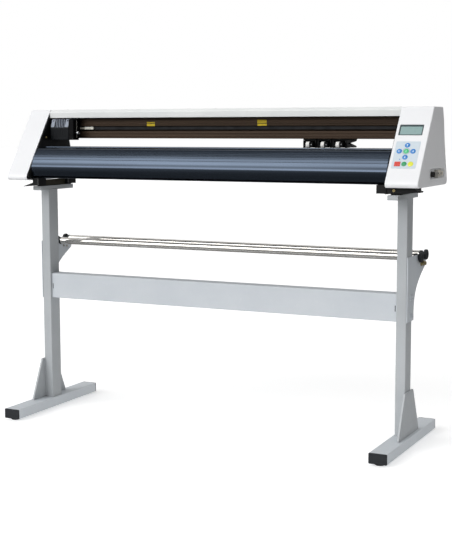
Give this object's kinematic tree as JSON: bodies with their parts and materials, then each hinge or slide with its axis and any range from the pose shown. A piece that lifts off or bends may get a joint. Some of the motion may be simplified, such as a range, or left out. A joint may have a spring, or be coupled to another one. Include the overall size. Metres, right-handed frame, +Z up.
{
  "type": "vinyl cutter",
  "caption": "Floor-standing vinyl cutter: roll-fed head with sliding carriage, pinch rollers and keypad, on a stand with roll bars.",
  "frame": {"origin": "on the floor, midway between the legs and midway along the feet", "axes": "+X along the head towards the control panel, -Y towards the operator, +Z up"},
  "size_m": [1.518, 0.509, 1.092],
  "materials": {
    "powder_coat": "satin light blue-grey powder coat",
    "black_plastic": "matt moulded",
    "glide_rubber": "matt",
    "black_metal": "satin black",
    "white_shell": "smooth moulded",
    "chrome_bar": "polished",
    "beam_finish": "dark brown anodised",
    "platen_finish": "blue-black anodised, ribbed",
    "strip_pvc": "matt strip",
    "cover_paint": "satin off-white",
    "display": "green-grey liquid crystal window",
    "keypad_film": "matt film",
    "key_blue": "domed",
    "key_green": "domed",
    "key_red": "domed",
    "key_yellow": "domed",
    "port_plastic": "matt moulded",
    "steel": "knurled or turned",
    "pulley_metal": "turned",
    "belt_rubber": "matt toothed belt",
    "motor_case": "black",
    "board_green": "solder mask",
    "supply_case": "plain sheet",
    "carriage_black": "matt moulded",
    "carriage_grey": "satin ribbed moulding",
    "clamp_cream": "satin",
    "roller_rubber": "cream rubber tyre"
  },
  "bodies": {
    "machine": {"left_foot": "powder_coat", "left_column": "powder_coat", "left_roll_bracket": "powder_coat", "left_front_foot_cap": "black_plastic", "left_rear_foot_cap": "black_plastic", "left_mount_bracket": "black_metal", "left_side_plate": "black_metal", "left_housing": "white_shell", "right_foot": "powder_coat", "right_column": "powder_coat", "right_roll_bracket": "powder_coat", "right_front_foot_cap": "black_plastic", "right_rear_foot_cap": "black_plastic", "right_mount_bracket": "black_metal", "right_side_plate": "black_metal", "right_housing": "white_shell", "crossbeam": "powder_coat", "beam": "beam_finish", "platen": "platen_finish", "cutting_strip": "strip_pvc", "top_cover": "cover_paint", "display_module": "display", "keypad_panel": "keypad_film", "port_panel": "port_plastic", "drive_belt": "belt_rubber", "feed_motor": "motor_case", "carriage_motor": "motor_case", "control_board": "board_green", "power_supply": "supply_case"},
    "carriage": {"carriage_body": "carriage_black", "carriage_cover": "carriage_grey", "belt_clamp_bar": "clamp_cream"},
    "tool_slider": {"tool_slider": "carriage_black"},
    "tool_knob": {"tool_clamp_knob": "steel"},
    "drive_pulley": {"drive_pulley": "pulley_metal"},
    "idler_pulley": {"idler_pulley": "pulley_metal"},
    "grit_shaft": {"grit_shaft": "steel"},
    "pinch_clamp_1": {"pinch_clamp_1": "black_metal"},
    "pinch_arm_1": {"pinch_arm_1": "carriage_black"},
    "pinch_roller_1": {"pinch_roller_1": "roller_rubber"},
    "pinch_clamp_2": {"pinch_clamp_2": "black_metal"},
    "pinch_arm_2": {"pinch_arm_2": "carriage_black"},
    "pinch_roller_2": {"pinch_roller_2": "roller_rubber"},
    "pinch_clamp_3": {"pinch_clamp_3": "black_metal"},
    "pinch_arm_3": {"pinch_arm_3": "carriage_black"},
    "pinch_roller_3": {"pinch_roller_3": "roller_rubber"},
    "front_roll_bar": {"front_roll_bar": "chrome_bar"},
    "rear_roll_bar": {"rear_roll_bar": "chrome_bar"},
    "key_up": {"key_up": "key_blue"},
    "key_left": {"key_left": "key_blue"},
    "key_right": {"key_right": "key_blue"},
    "key_down": {"key_down": "key_blue"},
    "key_enter": {"key_enter": "key_green"},
    "key_stop": {"key_stop": "key_red"},
    "key_test": {"key_test": "key_green"},
    "key_pause": {"key_pause": "key_yellow"},
    "left_front_glide": {"left_front_glide": "glide_rubber"},
    "left_rear_glide": {"left_rear_glide": "glide_rubber"},
    "right_front_glide": {"right_front_glide": "glide_rubber"},
    "right_rear_glide": {"right_rear_glide": "glide_rubber"}
  },
  "joints": [
    {"name": "carriage_slide", "type": "slide", "parent": "machine", "child": "carriage", "axis": [1, 0, 0], "range_m": [0, 1.155]},
    {"name": "tool_lift", "type": "slide", "parent": "carriage", "child": "tool_slider", "axis": [0, 0, 1], "range_m": [-0.005, 0], "stiffness_N_per_m": 300, "springref_m": 0.01},
    {"name": "tool_knob_turn", "type": "hinge", "parent": "tool_slider", "child": "tool_knob", "pos_m": [-0.56, 0.009, 1.009], "axis": [1, 0, 0], "continuous": true},
    {"name": "drive_pulley_turn", "type": "hinge", "parent": "machine", "child": "drive_pulley", "pos_m": [0.703, 0.062, 1.026], "axis": [0, 0, 1], "continuous": true},
    {"name": "idler_pulley_turn", "type": "hinge", "parent": "machine", "child": "idler_pulley", "pos_m": [-0.716, 0.062, 1.026], "axis": [0, 0, 1], "continuous": true},
    {"name": "grit_shaft_turn", "type": "hinge", "parent": "machine", "child": "grit_shaft", "pos_m": [0, 0.05, 0.9508], "axis": [1, 0, 0], "continuous": true},
    {"name": "pinch_slide_1", "type": "slide", "parent": "machine", "child": "pinch_clamp_1", "axis": [1, 0, 0], "range_m": [-0.8, 0.006]},
    {"name": "pinch_lift_1", "type": "hinge", "parent": "pinch_clamp_1", "child": "pinch_arm_1", "pos_m": [0.322, 0.086, 0.974], "axis": [-1, 0, 0], "range_deg": [0, 7], "stiffness_Nm_per_rad": 1, "springref_deg": -11.46},
    {"name": "pinch_roller_turn_1", "type": "hinge", "parent": "pinch_arm_1", "child": "pinch_roller_1", "pos_m": [0.322, 0.05, 0.9704], "axis": [1, 0, 0], "continuous": true},
    {"name": "pinch_slide_2", "type": "slide", "parent": "machine", "child": "pinch_clamp_2", "axis": [1, 0, 0], "range_m": [-0.006, 0.006]},
    {"name": "pinch_lift_2", "type": "hinge", "parent": "pinch_clamp_2", "child": "pinch_arm_2", "pos_m": [0.37475, 0.086, 0.974], "axis": [-1, 0, 0], "range_deg": [0, 7], "stiffness_Nm_per_rad": 1, "springref_deg": -11.46},
    {"name": "pinch_roller_turn_2", "type": "hinge", "parent": "pinch_arm_2", "child": "pinch_roller_2", "pos_m": [0.37475, 0.05, 0.9704], "axis": [1, 0, 0], "continuous": true},
    {"name": "pinch_slide_3", "type": "slide", "parent": "machine", "child": "pinch_clamp_3", "axis": [1, 0, 0], "range_m": [-0.006, 0.16]},
    {"name": "pinch_lift_3", "type": "hinge", "parent": "pinch_clamp_3", "child": "pinch_arm_3", "pos_m": [0.4275, 0.086, 0.974], "axis": [-1, 0, 0], "range_deg": [0, 7], "stiffness_Nm_per_rad": 1, "springref_deg": -11.46},
    {"name": "pinch_roller_turn_3", "type": "hinge", "parent": "pinch_arm_3", "child": "pinch_roller_3", "pos_m": [0.4275, 0.05, 0.9704], "axis": [1, 0, 0], "continuous": true},
    {"name": "front_roll_bar_turn", "type": "hinge", "parent": "machine", "child": "front_roll_bar", "pos_m": [0, 0.085, 0.61], "axis": [1, 0, 0], "continuous": true},
    {"name": "rear_roll_bar_turn", "type": "hinge", "parent": "machine", "child": "rear_roll_bar", "pos_m": [0, 0.14, 0.614], "axis": [1, 0, 0], "continuous": true},
    {"name": "key_up_press", "type": "slide", "parent": "machine", "child": "key_up", "axis": [0, 0.8258, -0.564], "range_m": [0, 0.0008], "stiffness_N_per_m": 300},
    {"name": "key_left_press", "type": "slide", "parent": "machine", "child": "key_left", "axis": [0, 0.8258, -0.564], "range_m": [0, 0.0008], "stiffness_N_per_m": 300},
    {"name": "key_right_press", "type": "slide", "parent": "machine", "child": "key_right", "axis": [0, 0.8258, -0.564], "range_m": [0, 0.0008], "stiffness_N_per_m": 300},
    {"name": "key_down_press", "type": "slide", "parent": "machine", "child": "key_down", "axis": [0, 0.8258, -0.564], "range_m": [0, 0.0008], "stiffness_N_per_m": 300},
    {"name": "key_enter_press", "type": "slide", "parent": "machine", "child": "key_enter", "axis": [0, 0.8258, -0.564], "range_m": [0, 0.0008], "stiffness_N_per_m": 300},
    {"name": "key_stop_press", "type": "slide", "parent": "machine", "child": "key_stop", "axis": [0, 0.8258, -0.564], "range_m": [0, 0.0008], "stiffness_N_per_m": 300},
    {"name": "key_test_press", "type": "slide", "parent": "machine", "child": "key_test", "axis": [0, 0.8258, -0.564], "range_m": [0, 0.0008], "stiffness_N_per_m": 300},
    {"name": "key_pause_press", "type": "slide", "parent": "machine", "child": "key_pause", "axis": [0, 0.8258, -0.564], "range_m": [0, 0.0008], "stiffness_N_per_m": 300},
    {"name": "left_front_glide_screw", "type": "slide", "parent": "machine", "child": "left_front_glide", "axis": [0, 0, -1], "range_m": [0, 0.012]},
    {"name": "left_rear_glide_screw", "type": "slide", "parent": "machine", "child": "left_rear_glide", "axis": [0, 0, -1], "range_m": [0, 0.012]},
    {"name": "right_front_glide_screw", "type": "slide", "parent": "machine", "child": "right_front_glide", "axis": [0, 0, -1], "range_m": [0, 0.012]},
    {"name": "right_rear_glide_screw", "type": "slide", "parent": "machine", "child": "right_rear_glide", "axis": [0, 0, -1], "range_m": [0, 0.012]}
  ],
  "couplings": [
    {"joint": "drive_pulley_turn", "follows": "carriage_slide", "rad_per_m": 78.431},
    {"joint": "idler_pulley_turn", "follows": "carriage_slide", "rad_per_m": 78.431}
  ]
}
